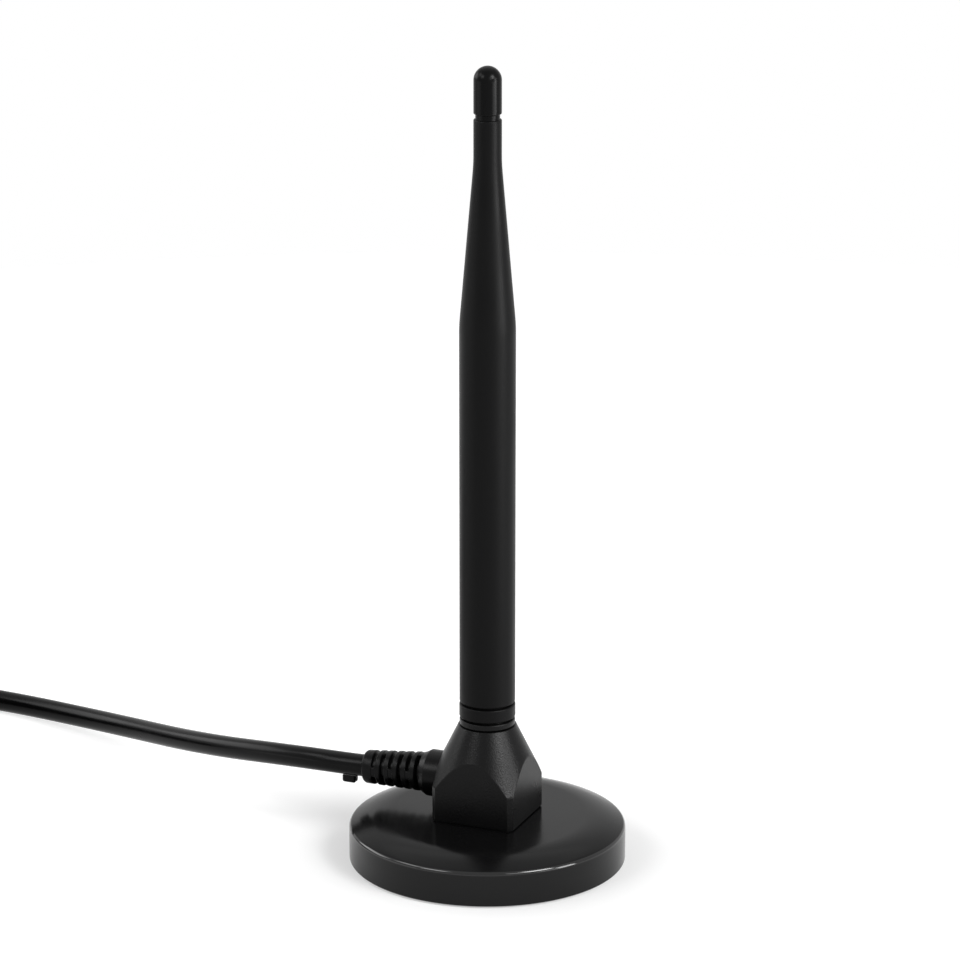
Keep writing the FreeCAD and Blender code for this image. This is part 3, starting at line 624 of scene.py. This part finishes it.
def remap(tree, value, low, high, start=NOISE_LOW, end=NOISE_HIGH):
    """The value's range from start to end, changed to run from low to high."""
    node = tree.nodes.new("ShaderNodeMapRange")
    node.inputs["From Min"].default_value = start
    node.inputs["From Max"].default_value = end
    node.inputs["To Min"].default_value = low
    node.inputs["To Max"].default_value = high
    tree.links.new(value, node.inputs["Value"])
    return node.outputs["Result"]


def plastic(name, colour, roughness, specular, grain, depth, mottle=MOTTLE):
    """Moulded plastic: fine spark-eroded grain as bump, slow mottling of its gloss."""
    material, tree, shader = finish_nodes(name, colour, roughness, specular)
    bump = tree.nodes.new("ShaderNodeBump")
    bump.inputs["Distance"].default_value = depth
    tree.links.new(noise(tree, 1 / grain), bump.inputs["Height"])
    tree.links.new(bump.outputs["Normal"], shader.inputs["Normal"])
    gloss = remap(tree, noise(tree, MOTTLE_SCALE), roughness - mottle, roughness + mottle)
    tree.links.new(gloss, shader.inputs["Roughness"])
    return material


def metal(name, colour, roughness):
    """Plain metal with fine scratches in its gloss."""
    material, tree, shader = finish_nodes(name, colour, roughness, METAL_SPECULAR)
    shader.inputs["Metallic"].default_value = 1.0
    scratches = noise(tree, SCRATCH_SCALE, SCRATCH_DETAIL)
    gloss = remap(tree, scratches, roughness * (1 - SCRATCH_SPREAD), roughness * (1 + SCRATCH_SPREAD))
    tree.links.new(gloss, shader.inputs["Roughness"])
    return material


# Stage, light and camera
FLOOR_RADIUS = 0.6
FLOOR_SIDES = 96
FLOOR_COLOUR = (0.45, 0.45, 0.45)
FLOOR_ROUGHNESS = 0.9
FLOOR_SPECULAR = 0.1
WHITE = (1, 1, 1, 1)
WORLD_LIGHT = 0.1
LAMP_DISTANCE = 0.9
LAMP_TARGET = Vector((0, 0, 90.0 * MM))

# The floor's own white glow grows from the first level to the second over these distances from the middle;
# the weaker glow near the middle is painted shade round the object
FLOOR_GLOW_SHADED_AND_FULL = (0.42, 0.75)
FLOOR_PAINTED_SHADE_SPAN = (34.0 * MM, 75.0 * MM)


def combined(tree, operation, a, b):
    """Two node values joined by an operation such as MULTIPLY."""
    node = tree.nodes.new("ShaderNodeMath")
    node.operation = operation
    tree.links.new(a, node.inputs[0])
    tree.links.new(b, node.inputs[1])
    return node.outputs["Value"]


def shown_white(tree):
    """One for what is seen straight, in gloss or through glass, and zero for light on other things."""
    path = tree.nodes.new("ShaderNodeLightPath")
    seen = path.outputs["Is Camera Ray"]
    for ray in ("Is Glossy Ray", "Is Transmission Ray"):
        seen = combined(tree, "MAXIMUM", seen, path.outputs[ray])
    return seen


def white_floor():
    """Pale floor that shows white and keeps the object's shadow, its white glow weaker near the middle as
    painted shade round the object.
    """
    material, tree, shader = finish_nodes("floor", FLOOR_COLOUR, FLOOR_ROUGHNESS, FLOOR_SPECULAR)
    shader.inputs["Emission Color"].default_value = WHITE
    place = tree.nodes.new("ShaderNodeTexCoord")
    distance = tree.nodes.new("ShaderNodeVectorMath")
    distance.operation = "LENGTH"
    tree.links.new(place.outputs["Object"], distance.inputs[0])
    # Glow weaker near the middle: painted shade round the object
    glow_with_painted_shade = remap(tree, distance.outputs["Value"], *FLOOR_GLOW_SHADED_AND_FULL, *FLOOR_PAINTED_SHADE_SPAN)
    strength = combined(tree, "MULTIPLY", shown_white(tree), glow_with_painted_shade)
    tree.links.new(strength, shader.inputs["Emission Strength"])
    return material


def floor():
    """Round table top under the object."""
    mesh = bpy.data.meshes.new("floor")
    rim = [upright(FLOOR_RADIUS, 0, angle) for angle in turn_angles(FLOOR_SIDES)]
    mesh.from_pydata(rim, [], [range(FLOOR_SIDES)])
    mesh.materials.append(white_floor())
    piece = add("floor", mesh)


def view_direction(side, rise):
    """Direction from the object, turned to the right of the camera by side and up by rise, in degrees."""
    plan = math.radians(side) + CAMERA_AZIMUTH
    up = math.radians(rise)
    return Vector((math.sin(plan) * math.cos(up), -math.cos(plan) * math.cos(up), math.sin(up)))


def softbox(name, side, rise, width, height, radiance, distance=LAMP_DISTANCE):
    """Soft rectangular lamp that points at the middle of the antenna."""
    data = bpy.data.lights.new(name, "AREA")
    data.shape = "RECTANGLE"
    data.size = width
    data.size_y = height
    data.energy = radiance * math.pi * width * height
    lamp = add(name, data)
    lamp.location = LAMP_TARGET + view_direction(side, rise) * distance
    lamp.rotation_euler = view_direction(side, rise).to_track_quat("Z", "Y").to_euler()
    lamp.visible_camera = False


def world():
    """Even surroundings: they show white and give a dimmer light."""
    surroundings = bpy.data.worlds.new("surroundings")
    surroundings.use_nodes = True
    tree = surroundings.node_tree
    background = tree.nodes["Background"]
    background.inputs["Color"].default_value = WHITE
    strength = remap(tree, shown_white(tree), WORLD_LIGHT, 1.0, start=0, end=1)
    tree.links.new(strength, background.inputs["Strength"])
    bpy.context.scene.world = surroundings


def camera():
    """Camera at the photograph's viewing angle."""
    data = bpy.data.cameras.new("camera")
    data.sensor_width = SENSOR_WIDTH
    data.lens = SENSOR_WIDTH * FOCAL_PIXELS / IMAGE_PIXELS
    piece = add("camera", data)
    back = view_direction(0, 0)
    right = view_direction(90, 0)
    piece.location = back * CAMERA_DISTANCE - right * CAMERA_SIDESTEP + Vector((0, 0, CAMERA_HEIGHT))
    piece.rotation_euler = (math.pi / 2 - CAMERA_PITCH, 0, CAMERA_AZIMUTH)
    bpy.context.scene.camera = piece


# The object in its finishes
finishes = {name: plastic(name, *values) for name, values in PLASTICS.items()}
finishes.update({name: metal(name, *values) for name, values in METALS.items()})


def dress(piece, slot, *nodes):
    """Give a piece its finish, let it stand for CAD nodes and move with the object."""
    piece.data.materials.append(finishes[slot])
    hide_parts(*nodes)
    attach(piece, "root")
    return piece


# Each CAD node takes the finish of its slot
for part in frame["record"]["subparts"]:
    node = frame["nodes"][part["node"]]
    node.data.materials.clear()
    node.data.materials.append(finishes[part["material_slot"]])

# Finer pieces in place of CAD nodes
base = dress(base_shell(), "base_plastic", "base_cover")
for name in BASE_FINISHES[1:]:
    base.data.materials.append(finishes[name])
dress(hub(), "hub_plastic", "hub_housing")
dress(collar(), "whip_plastic", "collar_ring")
dress(whip(), "whip_plastic", "whip_sleeve")
dress(cap(), "cap_plastic", "tip_cap")
dress(boot(), "boot_rubber", "strain_relief")
cord = dress(lead(), "lead_jacket", "coax_lead", "cable_coil")

# The stage
floor()
softbox("top_softbox", side=180, rise=64, width=0.9, height=0.9, radiance=0.6, distance=1.0)
softbox("right_softbox", side=47, rise=36, width=0.34, height=0.36, radiance=19.5)
softbox("right_wing", side=66, rise=8, width=0.25, height=0.45, radiance=11.5)
softbox("front_right_wing", side=25, rise=26, width=0.25, height=0.25, radiance=4)
softbox("right_low_panel", side=58, rise=-8, width=0.55, height=0.25, radiance=6.5)
softbox("left_softbox", side=-50, rise=38, width=0.3, height=0.3, radiance=7.2)
softbox("left_wing", side=-82, rise=42, width=0.35, height=0.25, radiance=5)
softbox("left_low_panel", side=-75, rise=-8, width=0.55, height=0.25, radiance=1.6)
softbox("back_left_softbox", side=-113, rise=21, width=0.55, height=0.34, radiance=3.8)
world()
camera()
bpy.context.scene.view_settings.view_transform = "Standard"
